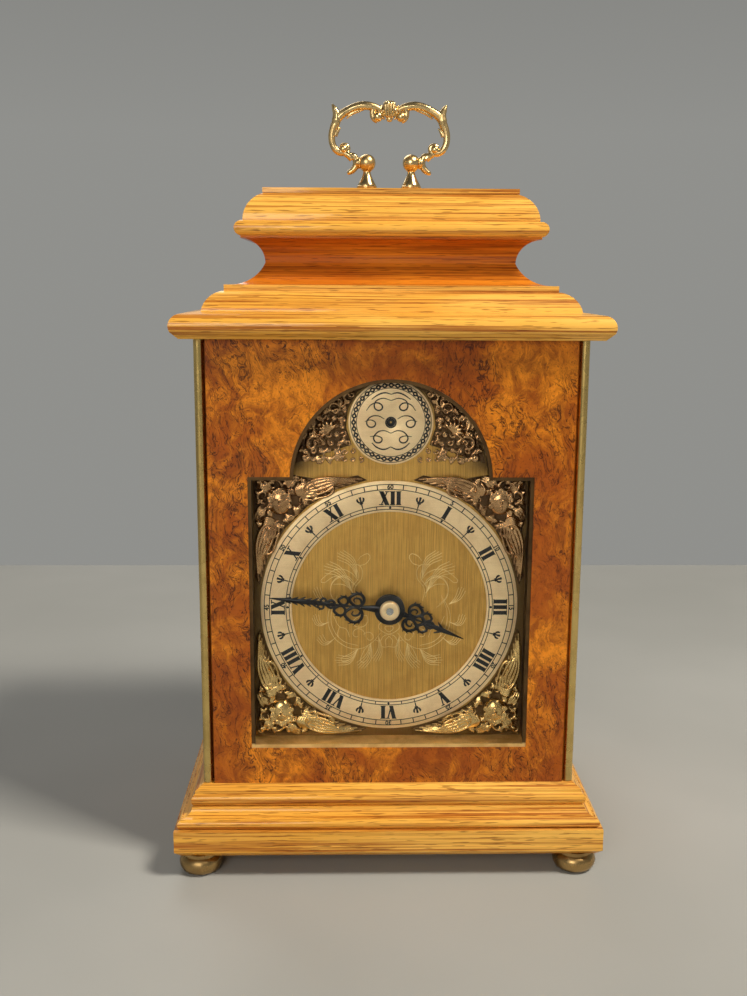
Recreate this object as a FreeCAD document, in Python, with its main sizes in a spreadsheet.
"""Bracket clock: walnut case with a bell top and brass bail, arched brass dial,
and an eight-day back-wound movement with a lever platform.

X runs to the right, the dial faces -Y and Z is up. The origin is the middle of
the footprint, at the bottom of the feet. Lengths are millimetres.
"""
import FreeCAD, Part
import math
import os
import re
import Sketcher

Vector = FreeCAD.Vector

# Driving dimensions: one spreadsheet cell each.
SIZES = {
    # wooden case
    "case_width": 150.0, "case_depth": 106.0, "foot_height": 9.2, "foot_reach": 8.9, "foot_inset": 9.5,
    "slab_thick": 11.3, "slab_reach": 11.0, "slab_chamfer": 2.4,
    "plinth_height": 15.8, "body_height": 178.5, "side_thick": 7.0, "front_thick": 11.0,
    "notch": 4.5, "column_radius": 1.8, "floor_thick": 12.0, "door_thick": 8.0, "door_gap": 0.6,
    # plinth moulding: reach beyond the case face, height above the slab
    "lower_bead_reach": 8.3, "lower_bead_height": 4.1, "lower_bead_round": 2.2,
    "cove_reach": 4.3, "cove_height": 3.2, "cove_round": 3.7, "quirk": 0.3,
    "upper_bead_reach": 3.1, "upper_bead_height": 5.1, "upper_bead_round": 2.9,
    "plinth_cap_height": 1.1,
    # cornice and bell top: reaches are from the case face, inwards negative
    "soffit_reach": 4.6, "cornice_lip": 7.3, "cornice_lip_height": 2.5, "nosing_reach": 4.8,
    "cornice_height": 10.0, "nosing_height": 9.1, "nosing_round": 4.6,
    "ovolo_reach": -3.0, "ovolo_top": -10.1, "ovolo_height": 7.4, "ovolo_round": 9.0,
    "fillet_reach": -10.9, "fillet_height": 2.4, "scotia_foot": -11.8, "scotia_waist": -25.8,
    "scotia_low": 8.5, "scotia_low_round": 14.0, "scotia_high": 9.1, "scotia_high_round": 9.1,
    "neck_reach": -16.7, "neck_height": 0.8, "torus_reach": -17.1, "torus_height": 5.8,
    "torus_round": 2.95, "cap_reach": -17.8, "cap_shoulder": -25.4, "cap_rise": 10.8, "cap_round": 11.2,
    "top_fillet_reach": -25.0, "top_fillet_height": 2.0,
    # dial opening in the front panel
    "opening_width": 110.6, "arch_radius": 39.2, "arch_drop": 1.6, "lining_thick": 0.8, "lining_setback": 0.3,
    "glass_thick": 1.6, "glass_setback": 1.0, "lip_width": 0.6,
    "slack": 0.05,
    # dial
    "dial_margin": 5.0, "dial_thick": 1.5, "ring_outer": 51.8, "ring_inner": 39.3, "ring_thick": 0.8,
    "ring_gap": 4.1, "boss_gap": 6.5, "boss_radius": 16.6, "boss_margin": 1.1, "boss_thick": 0.9,
    "spandrel_thick": 0.9, "spandrel_gap": 0.6, "scallop": 2.4, "head_radius": 4.6, "head_thick": 2.3,
    "head_offset": 43.6, "screw_head": 2.6,
    # hands
    "minute_hand": 48.6, "hour_hand": 32.8, "hand_boss": 6.1, "hand_thick": 0.5, "hand_gap": 1.7,
    "hand_wire": 0.8, "nut_radius": 4.1, "nut_thick": 1.8, "grip_slack": 0.02,
    # movement plates
    "plate_width": 84.0, "plate_top": 48.0, "plate_bottom": 62.0, "plate_thick": 2.0, "plate_gap": 24.0,
    "work_gap": 7.0, "pillar_radius": 3.0, "pillar_inset": 6.0, "nut_height": 2.2, "post_radius": 2.0,
    "bracket_width": 12.0, "bracket_thick": 2.0, "bracket_foot": 14.0, "bracket_lap": 12.0,
    # wheels: modules, widths and where the arbors stand
    "great_module": 0.975, "second_module": 0.9, "centre_module": 0.73, "third_module": 0.714,
    "fourth_module": 0.49, "motion_module": 0.75, "wheel_thick": 1.4, "pinion_length": 3.4,
    "wheel_rim": 1.6, "wheel_hub": 2.2, "work_thick": 1.0, "pipe_wall": 0.7,
    "arbor_radius": 1.0, "pivot_slack": 0.05, "centre_arbor": 1.5, "shake": 0.15,
    "barrel_angle": -90.0, "centre_offset": 34.0, "third_angle": 140.0, "fourth_angle": 50.0,
    "escape_angle": 15.0, "minute_angle": 200.0,
    "barrel_rim": 3.0, "winding_radius": 2.0, "ratchet_radius": 8.5, "ratchet_gap": 0.3,
    "click_offset": 5.0, "click_radius": 2.4, "square_width": 2.8, "square_length": 9.0,
    # lever platform
    "escape_radius": 4.2, "escape_thick": 0.6, "lever_distance": 6.2, "balance_distance": 7.6,
    "balance_radius": 7.0, "balance_rim": 1.0, "roller_radius": 2.4, "platform_thick": 1.8,
    "platform_gap": 5.5, "cock_foot": 2.6, "knob_radius": 7.0, "knob_thick": 4.0, "knob_reach": 8.0,
    # carrying handle
    "handle_height": 12.0, "handle_ball": 3.2, "ball_spacing": 18.2, "post_base": 4.2, "post_neck": 1.4,
    "post_foot": 1.6, "post_stud": 1.6, "stud_length": 10.0, "bail_pin": 1.0, "bail_gap": 0.25,
    "bail_rod": 1.25, "bail_arch": 1.5, "bail_reach": 24.2, "bail_rise": 22.5, "curl_radius": 1.85,
    "collar_radius": 2.2, "collar_thick": 0.7, "knob_rise": 2.0, "knob_waist": 1.6, "knob_belly": 2.3,
    # back door fittings
    "hinge_length": 20.0, "hinge_radius": 1.9, "hinge_leaf": 6.0, "leaf_thick": 0.9, "hinge_pin": 0.9,
    "hinge_inset": 24.0, "door_knob": 4.6, "door_knob_length": 8.5, "knob_inset": 9.0,
}

# Heights that follow the body's: what the ring, the boss and their gaps leave of it goes in equal
# rails below the opening and above its arch.
DERIVED = {
    "opening_bottom": "((body_height - 2 * ring_outer - ring_gap - boss_gap - 2 * boss_radius - boss_margin) / 2)",
    "opening_height": "(body_height - 2 * opening_bottom - arch_radius + arch_drop)",
    "dial_centre_height": "(opening_bottom + ring_gap + ring_outer)",
    "boss_height": "(ring_outer + boss_gap + boss_radius)",
}

# Tooth counts of the train and of the motion work.
GREAT_TEETH, SECOND_TEETH, CENTRE_TEETH, THIRD_TEETH, FOURTH_TEETH = 48, 40, 48, 42, 48
SECOND_PINION_TEETH, CENTRE_PINION_TEETH, THIRD_PINION_TEETH = 8, 8, 6
FOURTH_PINION_TEETH, ESCAPE_PINION_TEETH = 6, 6
CANNON_TEETH, MINUTE_TEETH, MINUTE_PINION_TEETH, HOUR_TEETH = 8, 24, 8, 32
ESCAPE_TEETH, RATCHET_TEETH, KNOB_RIDGES = 15, 24, 12
# Flats of the dial's rings and of a hand's pierced loops.
RING_SIDES, LOOP_SIDES = 48, 8
# Corners of the arch scrolls, in degrees above the level line: beside the boss and along the arch.
BOSS_TURNS, ARCH_TURNS = (66, 42, 18, -6, -30), (8, 26, 44, 62)
# Half width of a pinion leaf's flat crest, as a share of the tooth spacing.
PINION_CREST = 0.05
# Front planes of the drum and the wheels, as shares of the space between the plates.
STACK = {"drum": 0.042, "great": 0.458, "second": 0.6, "centre": 0.75, "third": 0.333, "fourth": 0.5}

doc = FreeCAD.newDocument("bracket_clock")
sheet = doc.addObject("Spreadsheet::Sheet", "Sizes")
for row, (alias, number) in enumerate(SIZES.items(), start=1):
    sheet.set("A%d" % row, alias)
    sheet.set("B%d" % row, str(number))
    sheet.setAlias("B%d" % row, alias)
doc.recompute()

WORDS = re.compile(r"\b(%s)\b" % "|".join(sorted([*SIZES, *DERIVED], key=len, reverse=True)))
nodes = []


def full(text):
    """The same expression with every alias pointed at the sheet."""
    return WORDS.sub(lambda word: full(DERIVED[word[0]]) if word[0] in DERIVED else "Sizes." + word[0],
                     str(text))


def size(text):
    """The number an expression stands for."""
    return float(sheet.evalExpression(full(text)))


def keep(piece, label):
    """Name a finished piece of the clock."""
    piece.Label = label
    nodes.append(piece)
    return piece


# Levels and planes shared by the pieces, as expressions of the sizes.
HALF_WIDTH = "case_width / 2"
HALF_DEPTH = "case_depth / 2"
SLAB_TOP = "(foot_height + slab_thick)"
BODY_BASE = "(foot_height + slab_thick + plinth_height)"
BODY_TOP = "(foot_height + slab_thick + plinth_height + body_height)"
CORNICE_TOP = BODY_TOP[:-1] + " + cornice_height)"
OVOLO_TOP = CORNICE_TOP[:-1] + " + ovolo_height + fillet_height)"
BELL_TOP = OVOLO_TOP[:-1] + " + scotia_low + scotia_high)"
NECK_TOP = BELL_TOP[:-1] + " + neck_height)"
TORUS_TOP = NECK_TOP[:-1] + " + torus_height)"
CASE_TOP = TORUS_TOP[:-1] + " + cap_rise + top_fillet_height)"
FRONT = "(0 - case_depth / 2)"
PANEL_BACK = "(front_thick - case_depth / 2)"
DIAL_BACK = PANEL_BACK[:-1] + " + dial_thick)"
PLATE_ONE = DIAL_BACK[:-1] + " + work_gap)"
PLATE_ONE_BACK = PLATE_ONE[:-1] + " + plate_thick)"
PLATE_TWO = PLATE_ONE_BACK[:-1] + " + plate_gap)"
PLATE_TWO_BACK = PLATE_TWO[:-1] + " + plate_thick)"
CENTRE_Z = BODY_BASE[:-1] + " + dial_centre_height)"
# Radii of the pipes that carry the hands.
CANNON_PIPE = "(centre_arbor + pipe_wall)"
HOUR_PIPE = "(centre_arbor + 2 * pipe_wall + pivot_slack)"


# ---------------------------------------------------------------- sketches
def arc_middle(start, end, radius, side):
    """Middle of the short arc that leaves the chord to its left (side 1) or right (-1)."""
    dx, dz = end[0] - start[0], end[1] - start[1]
    chord = math.hypot(dx, dz)
    radius = max(radius, chord / 2 * 1.0001)
    sag = radius - math.sqrt(radius * radius - chord * chord / 4)
    return ((start[0] + end[0]) / 2 - side * sag * dz / chord,
            (start[1] + end[1]) / 2 + side * sag * dx / chord)


def draw(sketch, outline):
    """Draw a closed outline. A point is (x, z), or (x, z, radius, side) at an arc's end."""
    first = sketch.GeometryCount
    spots = [(size(point[0]), size(point[1])) for point in outline]
    ends = []
    for index, point in enumerate(outline):
        start, end = Vector(*spots[index - 1], 0), Vector(*spots[index], 0)
        if len(point) == 2:
            sketch.addGeometry(Part.LineSegment(start, end), False)
            ends.append((1, 2))
            continue
        middle = Vector(*arc_middle(spots[index - 1], spots[index], size(point[2]), point[3]), 0)
        if point[3] < 0:
            sketch.addGeometry(Part.Arc(start, middle, end), False)
            ends.append((1, 2))
        else:
            sketch.addGeometry(Part.Arc(end, middle, start), False)
            ends.append((2, 1))
    for index, point in enumerate(outline):
        edge, after = first + index, first + (index + 1) % len(outline)
        begin, end = ends[(index + 1) % len(outline)][0], ends[index][1]
        for kind, axis in (("DistanceX", 0), ("DistanceY", 1)):
            spot = sketch.addConstraint(Sketcher.Constraint(kind, -1, 1, edge, end, spots[index][axis]))
            sketch.setExpression("Constraints[%d]" % spot, full(point[axis]))
        sketch.addConstraint(Sketcher.Constraint("Coincident", edge, end, after, begin))
        if len(point) > 2:
            spot = sketch.addConstraint(Sketcher.Constraint("Radius", edge, sketch.Geometry[edge].Radius))
            sketch.setExpression("Constraints[%d]" % spot, full(point[2]))


def draw_circle(sketch, across, up, radius):
    """Draw a circle with its centre and radius bound."""
    numbers = [size(text) for text in (across, up, radius)]
    edge = sketch.addGeometry(Part.Circle(Vector(numbers[0], numbers[1], 0), Vector(0, 0, 1), numbers[2]))
    for kind, text, number in (("DistanceX", across, numbers[0]), ("DistanceY", up, numbers[1])):
        spot = sketch.addConstraint(Sketcher.Constraint(kind, -1, 1, edge, 3, number))
        sketch.setExpression("Constraints[%d]" % spot, full(text))
    spot = sketch.addConstraint(Sketcher.Constraint("Radius", edge, numbers[2]))
    sketch.setExpression("Constraints[%d]" % spot, full(radius))


def body_plane(body, role):
    """One of a body's own origin planes."""
    return [item for item in body.Origin.OriginFeatures if item.Role == role][0]


def new_sketch(body, role, wires, offset="0"):
    """A sketch on an origin plane of the body, moved along the plane's normal."""
    sketch = body.newObject("Sketcher::SketchObject", "outline")
    sketch.AttachmentSupport = [(body_plane(body, role), "")]
    sketch.MapMode = "FlatFace"
    sketch.setExpression("AttachmentOffset.Base.z", full(offset))
    for wire in wires:
        if isinstance(wire, tuple):
            draw_circle(sketch, *wire)
        else:
            draw(sketch, wire)
    return sketch


def plate(label, layers, role="XZ_Plane", finished=True):
    """A flat piece of one or more pads. A layer is (back or bottom plane, thickness, wires)."""
    body = doc.addObject("PartDesign::Body", label)
    for level, thickness, wires in layers:
        offset = "0 - (%s)" % level if role == "XZ_Plane" else level
        pad = body.newObject("PartDesign::Pad", "pad")
        pad.Profile = new_sketch(body, role, wires, offset)
        pad.setExpression("Length", full(thickness))
    return keep(body, label) if finished else body


FACING = {"x": FreeCAD.Rotation(Vector(0, 1, 0), 90), "y": FreeCAD.Rotation(Vector(1, 0, 0), -90),
          "z": FreeCAD.Rotation()}


def tapered(rings, sides=8):
    """A solid with flat faces through many-sided rings on one line: (centre, radius)."""
    along = (rings[-1][0] - rings[0][0]).normalize()
    first = Vector(1, 0, 0) if abs(along.x) < 0.5 else Vector(0, 1, 0)
    second = along.cross(first).normalize()
    first = second.cross(along)
    loops = []
    for centre, radius in rings:
        turns = [2 * math.pi * (corner + 0.5) / sides for corner in range(sides)]
        loops.append([centre + first * radius * math.cos(turn) + second * radius * math.sin(turn)
                      for turn in turns])
    faces = [Part.Face(Part.makePolygon(loop + loop[:1])) for loop in (loops[0], loops[-1])]
    for low, high in zip(loops, loops[1:]):
        for corner in range(sides):
            after = (corner + 1) % sides
            faces.append(Part.Face(Part.makePolygon([low[corner], low[after], high[after], high[corner],
                                                     low[corner]])))
    solid = Part.makeSolid(Part.makeShell(faces))
    if solid.Volume < 0:
        solid.reverse()
    return solid


def turned(label, outline, place=("0", "0", "0"), axis="z", finished=True, sides=14):
    """A turned piece, drawn with fine flats. Outline points are (radius, distance along)."""
    start = Vector(*[size(text) for text in place])
    way = FACING[axis].multVec(Vector(0, 0, 1))
    result = doc.addObject("Part::Feature", label)
    result.Shape = tapered([(start + way * size(along), size(radius)) for radius, along in outline], sides)
    return keep(result, label) if finished else result


def block(low, high):
    """A box between two corners given as expressions."""
    solid = doc.addObject("Part::Box", "block")
    for name, start, end in zip(("Length", "Width", "Height"), low, high):
        solid.setExpression(name, full("(%s) - (%s)" % (end, start)))
    for axis, text in zip("xyz", low):
        solid.setExpression("Placement.Base." + axis, full(text))
    return solid


def rod(radius, start, length, axis="y", sides=12):
    """A round bar, drawn with fine flats, that runs along +axis from its start."""
    solid = doc.addObject("Part::Prism", "rod")
    solid.Polygon = sides
    solid.Placement = FreeCAD.Placement(Vector(), FACING[axis])
    solid.setExpression("Circumradius", full(radius))
    solid.setExpression("Height", full(length))
    for name, text in zip("xyz", start):
        solid.setExpression("Placement.Base." + name, full(text))
    return solid


def bore(radius, start, length, axis="y", sides=12):
    """A bar for cutting a hole: its flats stand clear of the given radius."""
    return rod("(%s) / cos(180 / %d)" % (radius, sides), start, length, axis, sides)


def joined(parts):
    """Several solids as one object, fused where they touch."""
    if len(parts) == 1:
        return parts[0]
    fused = doc.addObject("Part::MultiFuse", "joined")
    fused.Shapes = parts
    return fused


def cut(label, base, tools):
    """A piece less its holes."""
    result = doc.addObject("Part::Cut", label)
    result.Base = base
    result.Tool = joined(tools)
    return keep(result, label)


def group(label, parts):
    """Several separate solids of one kind as one piece list entry."""
    result = doc.addObject("Part::Compound", label)
    result.Links = parts
    return keep(result, label)


def shaped(label, shape):
    """A piece whose shape is worked out here from the sizes."""
    result = doc.addObject("Part::Feature", label)
    result.Shape = shape
    return keep(result, label)


# ---------------------------------------------------------------- wooden case
def silhouette(half, profile, plane_turn):
    """Both sides of a moulding's profile, mirrored about the middle."""
    right = [("%s + %s" % (half, point[0]),) + point[1:] for point in profile]
    left = []
    for index in range(len(profile) - 1, -1, -1):
        point = profile[index]
        spot = ("0 - (%s + %s)" % (half, point[0]), point[1])
        later = profile[index + 1] if index + 1 < len(profile) else point[:2]
        left.append(spot + tuple(later[2:]))
    sketch = doc.addObject("Sketcher::SketchObject", "silhouette")
    sketch.Placement = FreeCAD.Placement(Vector(), plane_turn)
    draw(sketch, right + left)
    return sketch


FACING_FRONT = FreeCAD.Rotation(Vector(1, 0, 0), 90)
FACING_SIDE = FreeCAD.Rotation(Vector(1, 1, 1), 120)


def moulded_board(label, profile, finished=True):
    """A board with the same moulding mitred round its four sides."""
    lengths = []
    for half, turn, direction, across in ((HALF_WIDTH, FACING_FRONT, Vector(0, 1, 0), "case_depth"),
                                          (HALF_DEPTH, FACING_SIDE, Vector(1, 0, 0), "case_width")):
        length = doc.addObject("Part::Extrusion", "length")
        length.Base = silhouette(half, profile, turn)
        length.DirMode = "Custom"
        length.Dir = direction
        length.Solid = True
        length.Symmetric = True
        length.setExpression("LengthFwd", full("%s + 4 * slab_reach" % across))
        lengths.append(length)
    board = doc.addObject("Part::Common", label)
    board.Base, board.Tool = lengths
    return keep(board, label) if finished else board


def make_plinth():
    """Chamfered base slab, moulded frame on it, floor board inside the frame, and feet."""
    moulded_board("plinth_base", [
        ("slab_reach - slab_chamfer", "foot_height"),
        ("slab_reach", "foot_height + slab_chamfer"),
        ("slab_reach", SLAB_TOP)])
    bead_top = SLAB_TOP[:-1] + " + lower_bead_height)"
    cove_top = bead_top[:-1] + " + cove_height)"
    bead_low = cove_top[:-1] + " + quirk)"
    bead_high = bead_low[:-1] + " + upper_bead_height)"
    cap = bead_high[:-1] + " + plinth_cap_height)"
    frame = moulded_board("plinth_frame", [
        ("lower_bead_reach", SLAB_TOP),
        ("lower_bead_reach", bead_top, "lower_bead_round", -1),
        ("lower_bead_reach - quirk", bead_top),
        ("cove_reach", cove_top, "cove_round", 1),
        ("cove_reach", bead_low),
        ("upper_bead_reach", bead_low),
        ("upper_bead_reach", bead_high, "upper_bead_round", -1),
        ("upper_bead_reach", cap),
        ("0", BODY_BASE)], finished=False)
    inner_x = "(case_width / 2 - side_thick)"
    inner_y = "(case_depth / 2 - side_thick)"
    well = block(("0 - " + inner_x, "0 - " + inner_y, SLAB_TOP), (inner_x, inner_y, BODY_BASE))
    cut("plinth_moulding", frame, [well])
    floor = block(("slack - " + inner_x, "slack - " + inner_y, SLAB_TOP),
                  (inner_x + " - slack", inner_y + " - slack", SLAB_TOP + " + floor_thick"))
    keep(floor, "base_board")
    feet = []
    for side in (-1, 1):
        for end in (-1, 1):
            place = ("%d * (case_width / 2 + slab_reach - foot_inset)" % side,
                     "%d * (case_depth / 2 + slab_reach - foot_inset)" % end, "0")
            feet.append(turned("foot", [
                ("foot_reach * 0.6", "0"), ("foot_reach", "foot_height * 0.35"),
                ("foot_reach", "foot_height * 0.6"), ("foot_reach * 0.72", "foot_height * 0.85"),
                ("foot_reach * 0.72", "foot_height")], place, finished=False, sides=16))
    group("feet", feet)


def make_sides():
    """Side panels with the notches that hold the corner columns, and the columns."""
    columns = []
    for side, word in ((-1, "left"), (1, "right")):
        def across(inset):
            return "%d * (case_width / 2 - (%s))" % (side, inset)
        outline = [(across("side_thick"), PANEL_BACK), (across("notch"), PANEL_BACK),
                   (across("notch"), FRONT + " + notch"), (across("0"), FRONT + " + notch"),
                   (across("0"), HALF_DEPTH), (across("side_thick"), HALF_DEPTH)]
        plate("side_panel_" + word, [(BODY_BASE, "body_height", [outline])], "XY_Plane")
        columns.append(rod("column_radius", (across("column_radius"), FRONT + " + column_radius", BODY_BASE),
                           "body_height", "z"))
    group("corner_columns", columns)


def arch_outline(margin, low="0"):
    """The break-arch outline of the dial opening, drawn in by a margin all round."""
    half = "(opening_width / 2 - (%s))" % margin
    bottom = BODY_BASE + " + opening_bottom + (%s) + %s" % (margin, low)
    shoulder = BODY_BASE + " + opening_bottom + opening_height - (%s)" % margin
    radius = "(arch_radius - (%s))" % margin
    spring = "sqrt(%s ^ 2 - (arch_drop - (%s)) ^ 2)" % (radius, margin)
    return [("0 - " + half, bottom), (half, bottom), (half, shoulder), (spring, shoulder),
            ("0 - " + spring, shoulder, radius, -1),
            ("0 - " + half, shoulder)]


def make_front():
    """Front panel, brass sight edge, glass and the strip that holds the glass."""
    half = "(case_width / 2 - notch)"
    border = [("0 - " + half, BODY_BASE), (half, BODY_BASE), (half, BODY_TOP), ("0 - " + half, BODY_TOP)]
    plate("front_panel", [(PANEL_BACK, "front_thick", [border, arch_outline("0")])])
    plate("sight_edge", [
        (FRONT + " + glass_setback", "glass_setback - lining_setback",
         [arch_outline("slack"), arch_outline("lining_thick + lip_width")]),
        (PANEL_BACK, "front_thick - glass_setback", [arch_outline("slack"), arch_outline("lining_thick")])])
    plate("front_glass", [(FRONT + " + glass_setback + glass_thick", "glass_thick",
                           [arch_outline("lining_thick + slack")])])


def make_bell_top():
    """Cornice board, ovolo, scotia, torus board and cap, one board on another."""
    lip = BODY_TOP[:-1] + " + cornice_lip_height)"
    nosing = BODY_TOP[:-1] + " + nosing_height)"
    moulded_board("cornice_board", [
        ("soffit_reach", BODY_TOP), ("cornice_lip", lip),
        ("nosing_reach", nosing, "nosing_round", -1),
        ("ovolo_reach + quirk", CORNICE_TOP)])
    ovolo = CORNICE_TOP[:-1] + " + ovolo_height)"
    moulded_board("lower_ovolo", [
        ("ovolo_reach", CORNICE_TOP), ("ovolo_top", ovolo, "ovolo_round", -1),
        ("fillet_reach", ovolo), ("fillet_reach", OVOLO_TOP)])
    waist = OVOLO_TOP[:-1] + " + scotia_low)"
    moulded_board("bell_scotia", [
        ("scotia_foot", OVOLO_TOP), ("scotia_waist", waist, "scotia_low_round", 1),
        ("scotia_waist + scotia_high_round", BELL_TOP, "scotia_high_round", 1),
        ("neck_reach - quirk", BELL_TOP), ("neck_reach - quirk", NECK_TOP)])
    moulded_board("torus_board", [
        ("torus_reach", NECK_TOP), ("torus_reach", TORUS_TOP, "torus_round", -1)])
    shoulder = TORUS_TOP[:-1] + " + cap_rise)"
    cap = moulded_board("cap_board", [
        ("cap_reach", TORUS_TOP), ("cap_shoulder - quirk", shoulder, "cap_round", -1),
        ("top_fillet_reach", shoulder), ("top_fillet_reach", CASE_TOP)], finished=False)
    holes = [bore("post_stud + slack", ("%d * ball_spacing / 2" % side, "0", CASE_TOP + " - stud_length"),
                  "stud_length + 1", "z") for side in (-1, 1)]
    cut("top_cap", cap, holes)


# ---------------------------------------------------------------- handle
# The bail's right half, as shares of its reach and rise from the pivot line: the arched
# rod, the curl beside the knob, the run to the collar and the hook below it.
ARCH_RUN = [(0.13, 0.93), (0.29, 0.973), (0.43, 1.0), (0.56, 0.982), (0.68, 0.93), (0.80, 0.85), (0.88, 0.735),
            (0.967, 0.573), (1.0, 0.431), (0.967, 0.289), (0.905, 0.2), (0.818, 0.16), (0.727, 0.156)]
CURL_RUN = [(0.13, 0.93), (0.115, 0.86), (0.16, 0.79)]
COLLAR_RUN = [(0.727, 0.156), (0.65, 0.09), (0.54, 0.02)]
HOOK_RUN = [(0.62, 0.1), (0.575, -0.01), (0.615, -0.133), (0.70, -0.187)]
CURL_AT, SCROLL_AT, LOBE_AT = (0.186, 0.778), (0.777, 0.236), (0.649, 0.089)
HORN_FOOT, HORN_TIP = (0.855, 0.84), (0.959, 1.018)


def bail_point(share, side):
    """A point of the bail's plane from its shares of reach and rise."""
    return Vector(side * share[0] * size("bail_reach"), 0, share[1] * size("bail_rise"))


def bar(radius, run, side):
    """An eight-sided bar along a bent run, mitred at each bend."""
    points = [bail_point(share, side) for share in run]
    along = points[1] - points[0]
    across = along.cross(Vector(0, 1, 0)).normalize()
    corners = []
    for corner in range(8):
        angle = math.radians(22.5 + 45 * corner)
        corners.append(points[0] + across * radius * math.cos(angle) + Vector(0, radius * math.sin(angle), 0))
    sweep = Part.BRepOffsetAPI.MakePipeShell(Part.makePolygon(points))
    sweep.setTransitionMode(1)
    sweep.add(Part.makePolygon(corners + corners[:1]))
    sweep.build()
    sweep.makeSolid()
    return sweep.shape()


def roll(radius, length, share, side):
    """The rolled end of a scroll, its axis across the bail."""
    return disc(radius, -length / 2, length, tuple(bail_point(share, side))[::2])


def make_handle():
    """Two turned posts and the cast bail that swings on their balls."""
    pivot = CASE_TOP + " + handle_height"
    for side, word in ((-1, "left"), (1, "right")):
        post_x = "%d * ball_spacing / 2" % side
        stud = rod("post_stud", (post_x, "0", CASE_TOP + " - stud_length"), "stud_length + slack", "z")
        post = turned("post", [
            ("post_base", "0 - handle_height"), ("post_base", "0 - handle_height + post_foot"),
            ("post_neck", "0 - handle_ball * 1.28"), ("post_neck", "0 - handle_ball * 0.9"),
            ("handle_ball * 0.8", "0 - handle_ball * 0.6"), ("handle_ball", "0 - handle_ball * 0.15"),
            ("handle_ball", "handle_ball * 0.15"), ("handle_ball * 0.8", "handle_ball * 0.6"),
            ("handle_ball * 0.4", "handle_ball")],
            (post_x, "0", pivot), finished=False)
        hole = bore("bail_pin + slack", (post_x + " - handle_ball", "0", pivot), "2 * handle_ball", "x")
        cut("handle_post_" + word, joined([post, stud]), [hole])
    rod_r, arch = size("bail_rod"), size("bail_arch")
    collar = size("ball_spacing / 2 + handle_ball + bail_gap")
    flange = size("collar_thick")
    solids = []
    for side in (-1, 1):
        solids += [
            bar(arch, ARCH_RUN, side), bar(rod_r * 0.9, CURL_RUN, side), bar(rod_r * 0.8, COLLAR_RUN, side),
            bar(rod_r * 0.6, HOOK_RUN, side),
            roll(size("curl_radius"), 2 * rod_r, CURL_AT, side),
            roll(size("curl_radius") * 0.85, 2 * rod_r, SCROLL_AT, side),
            roll(size("curl_radius") * 0.75, 2 * rod_r, LOBE_AT, side),
            tapered([(bail_point(HORN_FOOT, side), rod_r * 0.9), (bail_point(HORN_TIP, side), rod_r * 0.3)]),
            tapered([(Vector(side * collar, 0, 0), size("collar_radius")),
                     (Vector(side * (collar + flange), 0, 0), size("collar_radius"))], 12),
            tapered([(Vector(side * (collar + flange / 2), 0, 0), size("bail_pin")),
                     (Vector(side * (collar + flange / 2 - size("handle_ball") * 1.6), 0, 0), size("bail_pin"))])]
    foot, top = size("bail_rise") * 0.72, size("bail_rise + knob_rise")
    waist, belly = size("knob_waist"), size("knob_belly")
    tall = top - foot
    knob = tapered([(Vector(0, 0, foot), waist), (Vector(0, 0, foot + tall * 0.3), waist),
                    (Vector(0, 0, foot + tall * 0.62), belly), (Vector(0, 0, foot + tall * 0.8), belly * 0.9),
                    (Vector(0, 0, top), belly * 0.4)], 10)
    link = Vector(size("bail_reach") * 0.14, 0, 0)
    middle = Vector(0, 0, size("bail_rise") * 0.925)
    link = tapered([(middle - link, rod_r * 0.9), (middle + link, rod_r * 0.9)])
    bail = knob.multiFuse([link] + solids)
    bail.translate(Vector(0, 0, size(pivot)))
    shaped("handle_bail", bail)


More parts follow.
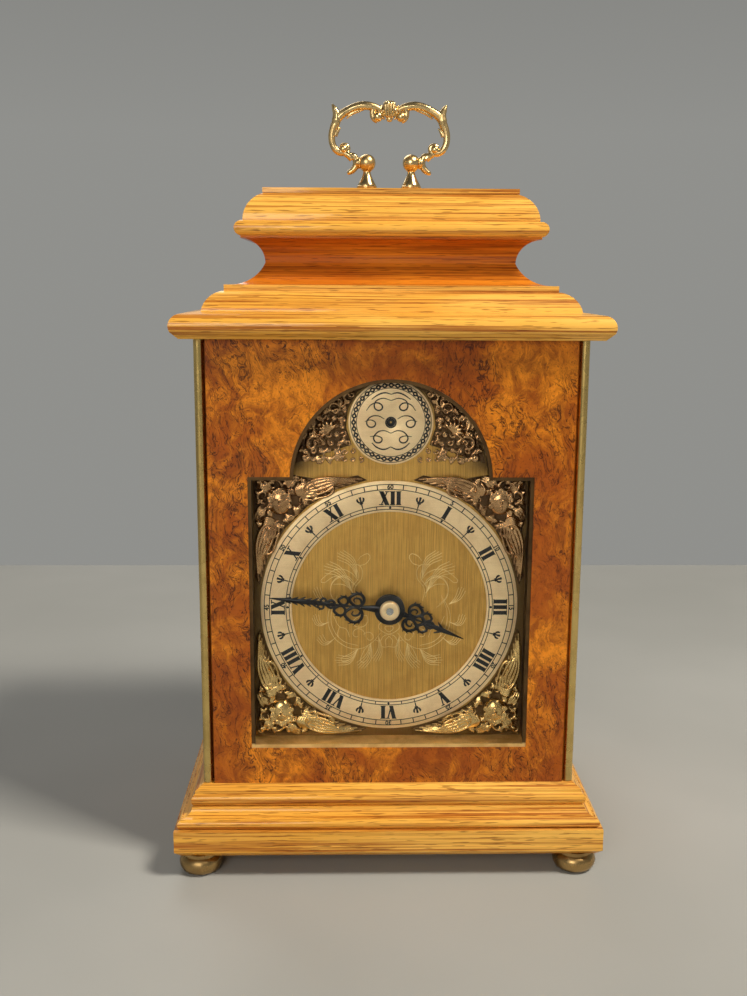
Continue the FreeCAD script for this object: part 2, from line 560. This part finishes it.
# ---------------------------------------------------------------- dial
def make_dial():
    """Dial plate, chapter ring, arch boss, spandrels, screws and movement feet."""
    level = CENTRE_Z
    centre_hole = ("0", level, "hand_boss - 1")
    base = plate("dial_base", [(DIAL_BACK, "dial_thick", [arch_outline("0 - dial_margin"), centre_hole])],
                 finished=False)
    feet = [rod("post_radius", ("%d * (plate_width / 2 - 2 * pillar_inset)" % across, DIAL_BACK + " - slack",
                                "%s + %s" % (level, height)), "work_gap + slack")
            for across in (-1, 1)
            for height in ("plate_top - 3 * pillar_inset", "2 * pillar_inset - plate_bottom")]
    keep(joined([base] + feet), "dial_plate")
    ring_front = PANEL_BACK + " - ring_thick"
    cut("chapter_ring", rod("ring_outer", ("0", ring_front, level), "ring_thick", sides=RING_SIDES),
        [bore("ring_inner", ("0", ring_front, level), "ring_thick", sides=RING_SIDES)])
    keep(rod("boss_radius", ("0", PANEL_BACK + " - boss_thick", level + " + boss_height"), "boss_thick",
             sides=RING_SIDES), "arch_boss")
    reach = "(opening_width / 2 - lining_thick - spandrel_gap)"
    clear = "((ring_outer + spandrel_gap) / cos(7))"
    inner = [(clear + " * cos(%d)" % angle, clear + " * sin(%d)" % angle) for angle in range(80, 9, -14)]
    for across, side in ((-1, "left"), (1, "right")):
        for up, end in ((-1, "lower"), (1, "upper")):
            rim = [(reach, reach + " * 0.24"), (reach + " - scallop", reach + " * 0.45"),
                   (reach, reach + " * 0.7"), (reach, reach + " * 0.94")]
            rim += [(high, wide) for wide, high in reversed(rim)]
            outline = [("%d * (%s)" % (across, x), "%s + %d * (%s)" % (level, up, z)) for x, z in inner + rim]
            relief = plate("relief", [(PANEL_BACK, "spandrel_thick", [outline])], finished=False)
            head = rod("head_radius", ("%d * head_offset" % across, PANEL_BACK + " - head_thick",
                                       "%s + %d * head_offset" % (level, up)), "head_thick")
            keep(joined([relief, head]), "spandrel_%s_%s" % (end, side))
    boss = level + " + boss_height"
    clear = "((boss_radius + spandrel_gap) / cos(12))"
    wide = "(arch_radius - lining_thick - spandrel_gap)"
    inner = [(clear + " * cos(%d)" % angle, "%s * sin(%d)" % (clear, angle)) for angle in BOSS_TURNS]
    drop = "(boss_height - opening_height - opening_bottom + dial_centre_height + arch_drop)"
    outer = [(wide + " * cos(%d)" % angle, "%s * sin(%d) - %s" % (wide, angle, drop)) for angle in ARCH_TURNS]
    scrolls = []
    for across in (-1, 1):
        outline = [("%d * (%s)" % (across, x), "%s + %s" % (boss, z)) for x, z in inner + outer]
        scrolls.append(plate("scroll", [(PANEL_BACK, "spandrel_thick", [outline])], finished=False))
    group("arch_spandrels", scrolls)
    screws = []
    for across in (-1, 1):
        for height in (BODY_BASE + " + opening_bottom - 2.6",
                       BODY_BASE + " + opening_bottom + opening_height + 2.6"):
            x = "%d * (opening_width / 2 - 8)" % across
            screws.append(rod("screw_head", (x, DIAL_BACK, height), "screw_head * 0.7"))
    group("dial_screws", screws)


def flat_shape(points, front, thickness):
    """A plate of straight edges, thickness towards the back, from (x, z) points."""
    wire = Part.makePolygon([Vector(x, front, z) for x, z in points + points[:1]])
    return Part.Face(wire).extrude(Vector(0, thickness, 0))


def flats(radius):
    """How many flats stand for a round of this radius."""
    return max(10, 2 * round(3.5 * math.sqrt(radius)))


def polygon(radius, sides, front, thickness, place=(0.0, 0.0)):
    """A regular many-sided plate."""
    corners = [2 * math.pi * (number + 0.5) / sides for number in range(sides)]
    return flat_shape([(place[0] + radius * math.cos(angle), place[1] + radius * math.sin(angle))
                       for angle in corners], front, thickness)


def disc(radius, front, thickness, place=(0.0, 0.0)):
    """A round plate, drawn with fine flats, whose front face lies at the given plane."""
    return polygon(radius, flats(radius), front, thickness, place)


def bored(shape, *holes):
    """Cut holes right through a flat piece: (radius, place), their flats clear of the radius."""
    low, depth = shape.BoundBox.YMin - 1, shape.BoundBox.YLength + 2
    tools = [disc(radius / math.cos(math.pi / flats(radius)), low, depth, place) for radius, place in holes]
    return shape.cut(tools[0].multiFuse(tools[1:]) if len(tools) > 1 else tools[0])


def moved(shape, place=(0.0, 0.0)):
    """Carry a shape from the dial centre to an arbor."""
    shape.translate(Vector(place[0], 0, place[1] + size(CENTRE_Z)))
    return shape


# Where the hands stand, in degrees clockwise from twelve.
MINUTE_ANGLE, HOUR_ANGLE = 276.0, 113.0
# Pierced loops of the hands: shares of the hand's length (radius, offset across, height).
MINUTE_LOOPS = [(0.066, 0.052, 0.24), (0.062, -0.052, 0.31), (0.05, 0.038, 0.395), (0.043, -0.03, 0.465),
                (0.034, 0.02, 0.53)]
HOUR_LOOPS = [(0.098, 0.085, 0.32), (0.098, -0.085, 0.32), (0.08, 0.075, 0.49), (0.08, -0.075, 0.49),
              (0.06, 0.0, 0.62)]


def hand_shape(length, loops, bore, front):
    """A pierced serpentine hand that points to twelve."""
    thick, boss, wire = size("hand_thick"), size("hand_boss"), size("hand_wire")
    blade = flat_shape([(-wire, boss * 0.7), (-wire * 0.6, length * 0.7), (-wire * 1.6, length * 0.78),
                        (0.0, length), (wire * 1.6, length * 0.78), (wire * 0.6, length * 0.7),
                        (wire, boss * 0.7)], front, thick)
    rings = []
    for share, across, up in loops:
        place = (across * length, up * length)
        ring = polygon(share * length, LOOP_SIDES, front, thick, place)
        rings.append(ring.cut(polygon(share * length - wire, LOOP_SIDES, front - 1, thick + 2, place)))
    return bored(blade.multiFuse(rings + [disc(boss, front, thick)]), (bore, (0.0, 0.0)))


def turned_to(shape, degrees):
    """Turn a hand to its time and bring it to the dial's centre."""
    shape.rotate(Vector(0, 0, 0), Vector(0, 1, 0), degrees)
    return moved(shape)


def make_hands():
    """Hour hand on its pipe, minute hand, and the round nut in front."""
    gap, thick, grip = size("hand_gap"), size("hand_thick"), size("centre_arbor + grip_slack")
    hour_front = size(PANEL_BACK + " - ring_thick") - gap - thick
    minute_front = hour_front - gap - thick
    hour = hand_shape(size("hour_hand"), HOUR_LOOPS, size(HOUR_PIPE), hour_front)
    shaped("hour_hand", turned_to(hour, HOUR_ANGLE))
    minute = hand_shape(size("minute_hand"), MINUTE_LOOPS, size(CANNON_PIPE), minute_front)
    shaped("minute_hand", turned_to(minute, MINUTE_ANGLE))
    nut_front = minute_front - size("nut_thick")
    nut = bored(disc(size("nut_radius"), nut_front, size("nut_thick")), (grip, (0.0, 0.0)))
    shaped("hand_nut", moved(nut))
    return hour_front, minute_front


# ---------------------------------------------------------------- movement
def toothed(teeth, module, thickness, front, phase, crest=0.0):
    """A wheel with straight-flanked teeth, one centred on the phase angle, and flat crests if asked."""
    pitch = module * teeth / 2
    top, root = pitch + 0.75 * module, pitch - 1.5 * module
    step = 2 * math.pi / teeth
    points = []
    for number in range(teeth):
        middle = phase + number * step
        points += [(top, middle + turn) for turn in ((-crest * step, crest * step) if crest else (0.0,))]
        points.append((root, middle + 0.5 * step))
    return flat_shape([(r * math.cos(a), r * math.sin(a)) for r, a in points], front, thickness)


def meshing(teeth, phase, direction, mate_teeth):
    """Phase of a wheel that meshes at rest with one whose phase is given, along a direction."""
    share = ((direction - phase) * teeth / (2 * math.pi)) % 1.0
    return direction + math.pi + (share + 0.5) * 2 * math.pi / mate_teeth


def place_of(origin, distance, direction):
    """Arbor position in the plate, from another arbor."""
    return (origin[0] + distance * math.cos(direction), origin[1] + distance * math.sin(direction))


def train_layout():
    """Where each arbor stands and how its teeth are turned."""
    module = {name: size(name + "_module") for name in ("great", "second", "centre", "third", "fourth")}
    lay = {"centre": ((0.0, 0.0), 0.0)}
    down, offset = math.radians(size("barrel_angle")), size("centre_offset")
    barrel = place_of((0.0, 0.0), offset, down)
    near = module["second"] * (SECOND_TEETH + CENTRE_PINION_TEETH) / 2
    far = module["great"] * (GREAT_TEETH + SECOND_PINION_TEETH) / 2
    second_way = down + math.acos((near ** 2 + offset ** 2 - far ** 2) / (2 * near * offset))
    second = place_of((0.0, 0.0), near, second_way)
    second_phase = meshing(CENTRE_PINION_TEETH, 0.0, second_way, SECOND_TEETH)
    lay["second"] = (second, second_phase)
    to_barrel = math.atan2(barrel[1] - second[1], barrel[0] - second[0])
    lay["barrel"] = (barrel, meshing(SECOND_PINION_TEETH, second_phase, to_barrel, GREAT_TEETH))
    third_way = math.radians(size("third_angle"))
    third = place_of((0.0, 0.0), module["centre"] * (CENTRE_TEETH + THIRD_PINION_TEETH) / 2, third_way)
    third_phase = meshing(CENTRE_TEETH, 0.0, third_way, THIRD_PINION_TEETH)
    lay["third"] = (third, third_phase)
    fourth_way = math.radians(size("fourth_angle"))
    fourth = place_of(third, module["third"] * (THIRD_TEETH + FOURTH_PINION_TEETH) / 2, fourth_way)
    fourth_phase = meshing(THIRD_TEETH, third_phase, fourth_way, FOURTH_PINION_TEETH)
    lay["fourth"] = (fourth, fourth_phase)
    escape_way = math.radians(size("escape_angle"))
    escape = place_of(fourth, module["fourth"] * (FOURTH_TEETH + ESCAPE_PINION_TEETH) / 2, escape_way)
    lay["escape"] = (escape, meshing(FOURTH_TEETH, fourth_phase, escape_way, ESCAPE_PINION_TEETH))
    minute_way = math.radians(size("minute_angle"))
    minute = place_of((0.0, 0.0), size("motion_module") * (CANNON_TEETH + MINUTE_TEETH) / 2, minute_way)
    minute_phase = meshing(CANNON_TEETH, 0.0, minute_way, MINUTE_TEETH)
    lay["minute"] = (minute, minute_phase)
    lay["hour"] = ((0.0, 0.0), meshing(MINUTE_PINION_TEETH, minute_phase, minute_way + math.pi, HOUR_TEETH))
    lay["lever"] = (place_of(escape, size("lever_distance"), 0.0), 0.0)
    lay["balance"] = (place_of(lay["lever"][0], size("balance_distance"), 0.0), 0.0)
    return lay


def level_of(name):
    """Front plane of a wheel, by its share of the space between the plates."""
    return size(PLATE_ONE_BACK) + STACK[name] * size("plate_gap")


def pinion(leaves, module, mate, phase):
    """A pinion as long as the sheet says, level with the wheel it meets."""
    middle, long = level_of(mate) + size("wheel_thick") / 2, size("pinion_length")
    return toothed(leaves, module, long, middle - long / 2, phase, PINION_CREST)


def crossed(wheel, inner, outer):
    """Cross out a wheel with four gaps between its spokes."""
    front, depth = wheel.BoundBox.YMin - 1, wheel.BoundBox.YLength + 2
    for quarter in range(4):
        middle = math.radians(45 + 90 * quarter)
        gap = [(inner, -0.42), (outer, -0.57), (outer * 1.03, -0.2), (outer * 1.03, 0.2), (outer, 0.57),
               (inner, 0.42)]
        wheel = wheel.cut(flat_shape([(r * math.cos(middle + turn), r * math.sin(middle + turn))
                                      for r, turn in gap], front, depth))
    return wheel


def make_train(lay):
    """Barrel and wheels from the great wheel to the fourth wheel, each on its arbor."""
    thick, rim, hub = size("wheel_thick"), size("wheel_rim"), size("wheel_hub")
    plates_front, plates_back = size(PLATE_ONE), size(PLATE_TWO_BACK)
    counts = {"second": (SECOND_TEETH, SECOND_PINION_TEETH, "great"),
              "third": (THIRD_TEETH, THIRD_PINION_TEETH, "centre"),
              "fourth": (FOURTH_TEETH, FOURTH_PINION_TEETH, "third")}
    for name, (teeth, leaves, mate) in counts.items():
        place, phase = lay[name]
        module, leaf_module = size(name + "_module"), size(mate + "_module")
        wheel = toothed(teeth, module, thick, level_of(name), phase)
        wheel = crossed(wheel, leaves * leaf_module / 2 + hub, module * (teeth / 2 - 2) - rim)
        wheel = wheel.multiFuse([pinion(leaves, leaf_module, mate, phase),
                                 disc(size("arbor_radius"), plates_front, plates_back - plates_front)])
        shaped(name + "_wheel", moved(wheel, place))

    bore, module = size("centre_arbor + pivot_slack"), size("centre_module")
    front = level_of("centre")
    centre = toothed(CENTRE_TEETH, module, thick, front, 0.0)
    centre = crossed(centre, size("centre_arbor") + hub * 2, module * (CENTRE_TEETH / 2 - 2) - rim)
    leaves = pinion(CENTRE_PINION_TEETH, size("second_module"), "second", 0.0)
    centre = centre.multiFuse([leaves, disc(bore + size("pipe_wall"), leaves.BoundBox.YMin,
                                            front + thick - leaves.BoundBox.YMin)])
    shaped("centre_wheel", moved(bored(centre, (bore, (0.0, 0.0)))))

    place, phase = lay["barrel"]
    module, winder_r = size("great_module"), size("winding_radius")
    drum = disc(module * GREAT_TEETH / 2 - size("barrel_rim"), level_of("drum"), level_of("great") - level_of("drum"))
    barrel = toothed(GREAT_TEETH, module, thick, level_of("great"), phase).fuse(drum)
    shaped("barrel", moved(bored(barrel, (winder_r + size("pivot_slack"), (0.0, 0.0))), place))

    ratchet_front = plates_back + size("ratchet_gap")
    square = size("square_width") / 2
    key_square = flat_shape([(-square, -square), (square, -square), (square, square), (-square, square)],
                            ratchet_front + thick, size("square_length"))
    winder = disc(winder_r, plates_front, ratchet_front - plates_front + thick)
    shaped("winding_arbor", moved(winder.fuse(key_square), place))
    ratchet = bored(ratchet_wheel(ratchet_front, thick), (winder_r + size("grip_slack"), (0.0, 0.0)))
    shaped("ratchet_wheel", moved(ratchet, place))
    make_click(place, ratchet_front, thick)


def ratchet_wheel(front, thickness):
    """Saw-toothed wheel on the winding arbor."""
    radius, step = size("ratchet_radius"), 2 * math.pi / RATCHET_TEETH
    points = []
    for number in range(RATCHET_TEETH):
        for r, angle in ((radius * 0.86, (number - 0.1) * step), (radius, number * step)):
            points.append((r * math.cos(angle), r * math.sin(angle)))
    return flat_shape(points, front, thickness)


def make_click(place, front, thickness):
    """The click beside the ratchet wheel, on its shouldered screw in the back plate."""
    radius, pivot = size("ratchet_radius"), size("click_radius")
    stud = (radius + size("click_offset"), 0.0)
    nose = place_of((0.0, 0.0), radius + 2 * size("grip_slack") + 0.06, math.radians(35))
    reach = stud[0] - radius
    arm = flat_shape([(stud[0] - pivot, -1.5 * pivot), (stud[0] + pivot, -pivot), (stud[0] + pivot, pivot),
                      (nose[0] + 0.5 * reach, nose[1] + 0.33 * reach), nose], front, thickness)
    arm = bored(arm.fuse(disc(pivot, front, thickness, stud)), (pivot / 2 + size("pivot_slack"), stud))
    shaped("click", moved(arm, place))
    back, gap = size(PLATE_TWO_BACK), size("ratchet_gap")
    screw = disc(pivot / 2, back, front + thickness + gap / 2 - back, stud)
    screw = screw.fuse(polygon(pivot * 0.8, 12, front + thickness + gap / 2, pivot * 0.4, stud))
    shaped("click_screw", moved(screw, place))


def make_escapement(lay):
    """Platform on the back plate with escape wheel, lever and balance under its cocks."""
    plane, gap = size(PLATE_TWO_BACK + " + platform_thick"), size("platform_gap")
    escape, phase = lay["escape"]
    lever, balance = lay["lever"][0], lay["balance"][0]
    staff = size("arbor_radius") * 0.6
    wheel_front, thin = plane + gap * 0.3, size("escape_thick")
    radius, step = size("escape_radius"), 2 * math.pi / ESCAPE_TEETH
    points = []
    for number in range(ESCAPE_TEETH):
        for share, turn in ((1.0, 0.0), (0.97, 0.2), (0.72, 0.36)):
            angle = (number + turn) * step
            points.append((share * radius * math.cos(angle), share * radius * math.sin(angle)))
    wheel = flat_shape(points, wheel_front, thin)
    wheel = wheel.multiFuse([pinion(ESCAPE_PINION_TEETH, size("fourth_module"), "fourth", phase),
                             disc(staff, size(PLATE_ONE), plane + gap - size(PLATE_ONE))])
    shaped("escape_wheel", moved(wheel, escape))

    away = size("lever_distance") - radius
    stones = [flat_shape([(-away - 0.75, up * 3.05), (-away - 0.1, up * 3.7), (-0.2, up * 0.6), (-0.9, 0.0)],
                         wheel_front, thin) for up in (-1, 1)]
    tip = size("balance_distance") - size("roller_radius")
    fork = [(-0.5, -0.6), (tip - 1.2, -0.5), (tip - 1.0, -1.0), (tip, -1.0), (tip, -0.45), (tip - 0.6, -0.45)]
    fork = flat_shape(fork + [(x, -z) for x, z in reversed(fork)], wheel_front, thin)
    pallets = fork.multiFuse(stones + [disc(1.0, wheel_front - 0.2, thin + 0.4),
                                       disc(staff, plane - size("platform_thick") / 2, gap)])
    shaped("pallet_lever", moved(pallets, lever))

    rim, rim_wide = size("balance_radius"), size("balance_rim")
    rim_front, roller = plane + gap * 1.25, size("roller_radius")
    ring = bored(disc(rim, rim_front, rim_wide), (rim - rim_wide, (0.0, 0.0)))
    arm = flat_shape([(-rim + rim_wide / 2, -staff), (rim - rim_wide / 2, -staff),
                      (rim - rim_wide / 2, staff), (-rim + rim_wide / 2, staff)], rim_front, rim_wide)
    jewel = polygon(0.3, 6, wheel_front, thin + gap * 0.1, (0.35 - roller, 0.0))
    wheel = ring.multiFuse([arm, jewel, disc(roller, wheel_front + thin + gap * 0.04, gap * 0.1),
                            disc(staff, plane - size("platform_thick") / 2, gap * 2.1),
                            disc(staff * 2, rim_front + rim_wide, rim_wide)])
    shaped("balance_wheel", moved(wheel, balance))
    make_platform(plane, gap, rim_front, (escape, lever, balance))


def make_platform(plane, gap, rim_front, places):
    """Platform plate and the two cocks that hold the outer pivots."""
    escape, lever, balance = places
    back, slack = size(PLATE_TWO_BACK), size("arbor_radius") * 0.6 + size("pivot_slack")
    rim, foot = size("balance_radius"), size("cock_foot")
    left, right = escape[0] - rim - 0.5, balance[0] + rim + 1.5
    half = rim + foot
    base = flat_shape([(left, escape[1] - half), (right, escape[1] - half), (right, escape[1] + half),
                       (left, escape[1] + half)], back, size("platform_thick"))
    shaped("platform_plate", moved(bored(base, *[(slack, place) for place in places])))
    bridge_front, bridge = plane + gap * 0.84, gap * 0.2
    post = (escape[0] - rim * 0.6, escape[1] + rim)
    cock = flat_shape([(left, escape[1] + half), (left, escape[1] - 1.8), (lever[0] + 1.8, lever[1] - 1.8),
                       (lever[0] + 1.8, lever[1] + 1.8), (escape[0] - 1.0, escape[1] + half)],
                      bridge_front, bridge)
    cock = cock.fuse(polygon(foot * 0.8, 12, plane, bridge_front - plane, post))
    shaped("pallet_cock", moved(bored(cock, (slack, escape), (slack, lever))))
    stand = flat_shape([(balance[0] - foot, balance[1] - half), (balance[0] + foot, balance[1] - half),
                        (balance[0] + foot, balance[1] - rim - 0.6), (balance[0] - foot, balance[1] - rim - 0.6)],
                       plane, rim_front + 3 * size("balance_rim") - plane)
    arm = flat_shape([(balance[0] - foot, balance[1] - half), (balance[0] + foot, balance[1] - half),
                      (balance[0] + foot * 0.8, balance[1] + 1.6), (balance[0] - foot * 0.8, balance[1] + 1.6)],
                     rim_front + 3 * size("balance_rim"), size("platform_thick"))
    shaped("balance_cock", moved(bored(stand.fuse(arm), (slack, balance))))


def make_motion_work(lay, hour_front, minute_front):
    """Centre arbor with cannon pinion, minute wheel and hour wheel, and the setting knob."""
    plate_front, room = size(PLATE_ONE), size("work_gap")
    thick, module = size("work_thick"), size("motion_module")
    radius, slack, wall = size("centre_arbor"), size("pivot_slack"), size("pipe_wall")
    shaft_front = minute_front - size("nut_thick") - size("grip_slack") * 8
    knob_front, knob_r = size(PLATE_TWO_BACK + " + knob_reach"), size("knob_radius")
    shaped("centre_arbor", moved(disc(radius, shaft_front, knob_front - shaft_front)))
    cannon_front = plate_front - room * 0.42
    cannon = toothed(CANNON_TEETH, module, room * 0.37, cannon_front, lay["centre"][1], PINION_CREST)
    pipe = disc(size(CANNON_PIPE), minute_front, cannon_front - minute_front)
    cannon = bored(cannon.fuse(pipe), (radius + size("grip_slack"), (0.0, 0.0)))
    shaped("cannon_pinion", moved(cannon))
    hour_level = cannon_front - room * 0.06 - thick
    finer = module * (CANNON_TEETH + MINUTE_TEETH) / (MINUTE_PINION_TEETH + HOUR_TEETH)
    hour = toothed(HOUR_TEETH, finer, thick, hour_level, lay["hour"][1])
    hour = hour.fuse(disc(size(HOUR_PIPE), hour_front, hour_level - hour_front))
    shaped("hour_wheel", moved(bored(hour, (size(CANNON_PIPE) + slack, (0.0, 0.0)))))
    place, phase = lay["minute"]
    wheel_front = cannon_front + room * 0.12
    wheel = toothed(MINUTE_TEETH, module, thick, wheel_front, phase)
    leaves = toothed(MINUTE_PINION_TEETH, finer, wheel_front - hour_level + slack, hour_level - slack, phase,
                     PINION_CREST)
    shaped("minute_wheel", moved(bored(wheel.fuse(leaves), (size("arbor_radius") + slack, (0.0, 0.0))), place))
    knob = []
    for ridge in range(2 * KNOB_RIDGES):
        angle, reach = math.pi * ridge / KNOB_RIDGES, knob_r * (1.0 if ridge % 2 else 0.9)
        knob.append((reach * math.cos(angle), reach * math.sin(angle)))
    knob = flat_shape(knob, knob_front - size("knob_thick") / 2, size("knob_thick"))
    knob = knob.fuse(disc(knob_r * 0.55, knob_front - size("knob_thick"), size("knob_thick") / 2))
    grip = disc(radius + size("grip_slack"), knob_front - size("knob_thick") - 1, size("knob_thick") + 1)
    shaped("hand_setting_knob", moved(knob.cut(grip)))
    return hour_level


def make_plates(lay, hour_level):
    """Front and back plates with their pivot holes, and the pillars with their nuts."""
    slack, thick = size("pivot_slack"), size("plate_thick")
    half, top, bottom = size("plate_width") / 2, size("plate_top"), size("plate_bottom")
    inset = size("pillar_inset")
    outline = [(-half, inset - bottom), (inset - half, -bottom), (half - inset, -bottom),
               (half, inset - bottom), (half, top - inset), (half - inset, top),
               (inset - half, top), (-half, top - inset)]
    pivots = [(size("arbor_radius") + slack, lay[name][0]) for name in ("second", "third", "fourth")]
    pivots += [(size("centre_arbor") + slack, (0.0, 0.0)), (size("winding_radius") + slack, lay["barrel"][0])]
    front = bored(flat_shape(outline, size(PLATE_ONE), thick),
                  *pivots, (size("arbor_radius") * 0.6 + slack, lay["escape"][0]))
    stud_front = hour_level - 2 * slack
    stud = disc(size("arbor_radius"), stud_front, size(PLATE_ONE) - stud_front, lay["minute"][0])
    shaped("movement_front_plate", moved(front.fuse(stud)))
    back = bored(flat_shape(outline, size(PLATE_TWO), thick), *pivots,
                 (size("fourth_module") * (ESCAPE_PINION_TEETH / 2 + 1) + slack, lay["escape"][0]))
    shaped("movement_back_plate", moved(back))
    pillars = []
    for across in (-1, 1):
        for height in (top - inset * 1.2, inset * 1.2 - bottom):
            place = (across * (half - inset * 1.2), height)
            pillars.append(moved(disc(size("pillar_radius"), size(PLATE_ONE_BACK), size("plate_gap"), place)))
            for plane in (size(PLATE_ONE) - size("nut_height"), size(PLATE_TWO_BACK)):
                pillars.append(moved(polygon(size("pillar_radius"), 6, plane, size("nut_height"), place)))
    shaped("plate_pillars", Part.makeCompound(pillars))


def make_brackets():
    """Angle brackets that stand on the floor board and hold the back plate."""
    floor = SLAB_TOP + " + floor_thick"
    brackets = []
    for side in (-1, 1):
        inner = "%d * (plate_width / 2 - 3 * pillar_inset) - bracket_width / 2" % side
        outer = inner + " + bracket_width"
        upright = block((inner, PLATE_TWO_BACK, floor),
                        (outer, PLATE_TWO_BACK + " + bracket_thick", CENTRE_Z + " - plate_bottom + bracket_lap"))
        foot = block((inner, PLATE_TWO_BACK, floor),
                     (outer, PLATE_TWO_BACK + " + bracket_foot", floor + " + bracket_thick"))
        brackets.append(joined([upright, foot]))
    group("movement_brackets", brackets)


# ---------------------------------------------------------------- back door
def make_door():
    """Hinged wooden back with its butt hinges and turned knob."""
    edge = "(case_width / 2 - side_thick - door_gap)"
    low, high = BODY_BASE + " + door_gap", BODY_TOP + " - door_gap"
    inner = HALF_DEPTH + " - door_thick"
    keep(block(("0 - " + edge, inner, low), (edge, HALF_DEPTH, high)), "back_door")
    axis_x, axis_y = "(case_width / 2 - side_thick)", "(case_depth / 2 + hinge_radius)"
    fixed, moving = [], []
    for level in (BODY_BASE + " + hinge_inset", BODY_TOP + " - hinge_inset - hinge_length"):
        third = "hinge_length / 3"
        for number in range(3):
            start = "%s + %d * %s" % (level, number, third)
            gap = "shake"
            knuckle = rod("hinge_radius", (axis_x, axis_y, start + " + " + gap), third + " - 2 * " + gap, "z")
            own = fixed if number != 1 else moving
            sign = 1 if number != 1 else -1
            strap_x = (axis_x, axis_x + " + hinge_radius + 0.4")
            if sign < 0:
                strap_x = (axis_x + " - hinge_radius - 0.4", axis_x)
            strap = block((strap_x[0], HALF_DEPTH, start + " + " + gap),
                          (strap_x[1], HALF_DEPTH + " + leaf_thick", start + " + " + third + " - " + gap))
            own += [knuckle, strap]
        fixed.append(block((axis_x + " + hinge_radius + 0.3", HALF_DEPTH, level),
                           (axis_x + " + hinge_leaf", HALF_DEPTH + " + leaf_thick", level + " + hinge_length")))
        moving.append(block((axis_x + " - hinge_leaf", HALF_DEPTH, level),
                            (axis_x + " - hinge_radius - 0.3", HALF_DEPTH + " + leaf_thick",
                             level + " + hinge_length")))
    for level in (BODY_BASE + " + hinge_inset", BODY_TOP + " - hinge_inset - hinge_length"):
        fixed.append(rod("hinge_pin", (axis_x, axis_y, level + " + shake"), "hinge_length - 2 * shake", "z"))
    keep(joined(fixed), "hinge_leaves_fixed")
    cut("hinge_leaves_door", joined(moving),
        [bore("hinge_pin + slack", (axis_x, axis_y, BODY_BASE), "body_height", "z")])
    turned("door_knob", [
        ("door_knob * 0.7", "0"), ("door_knob * 0.7", "1"), ("door_knob * 0.42", "1.8"),
        ("door_knob * 0.42", "door_knob_length * 0.45"), ("door_knob * 0.9", "door_knob_length * 0.6"),
        ("door_knob", "door_knob_length * 0.75"), ("door_knob * 0.8", "door_knob_length * 0.94"),
        ("door_knob * 0.4", "door_knob_length")], ("knob_inset - " + edge, HALF_DEPTH, CENTRE_Z), "y")


# ---------------------------------------------------------------- build and write
make_plinth()
make_sides()
make_front()
make_bell_top()
make_handle()
make_dial()
hour_plane, minute_plane = make_hands()
layout = train_layout()
make_train(layout)
make_escapement(layout)
hour_level = make_motion_work(layout, hour_plane, minute_plane)
make_plates(layout, hour_level)
make_brackets()
make_door()
doc.recompute()

for item in doc.Objects:
    if "Invalid" in item.State or "Error" in item.State:
        raise RuntimeError("%s failed: %s" % (item.Label, item.State))
for node in nodes:
    if node.Shape.isNull() or not node.Shape.isValid():
        raise RuntimeError("%s has no valid shape" % node.Label)
os.makedirs("parts", exist_ok=True)
for node in nodes:
    node.Shape.exportStep("parts/%s.step" % node.Label)
print(len(nodes), "nodes written")
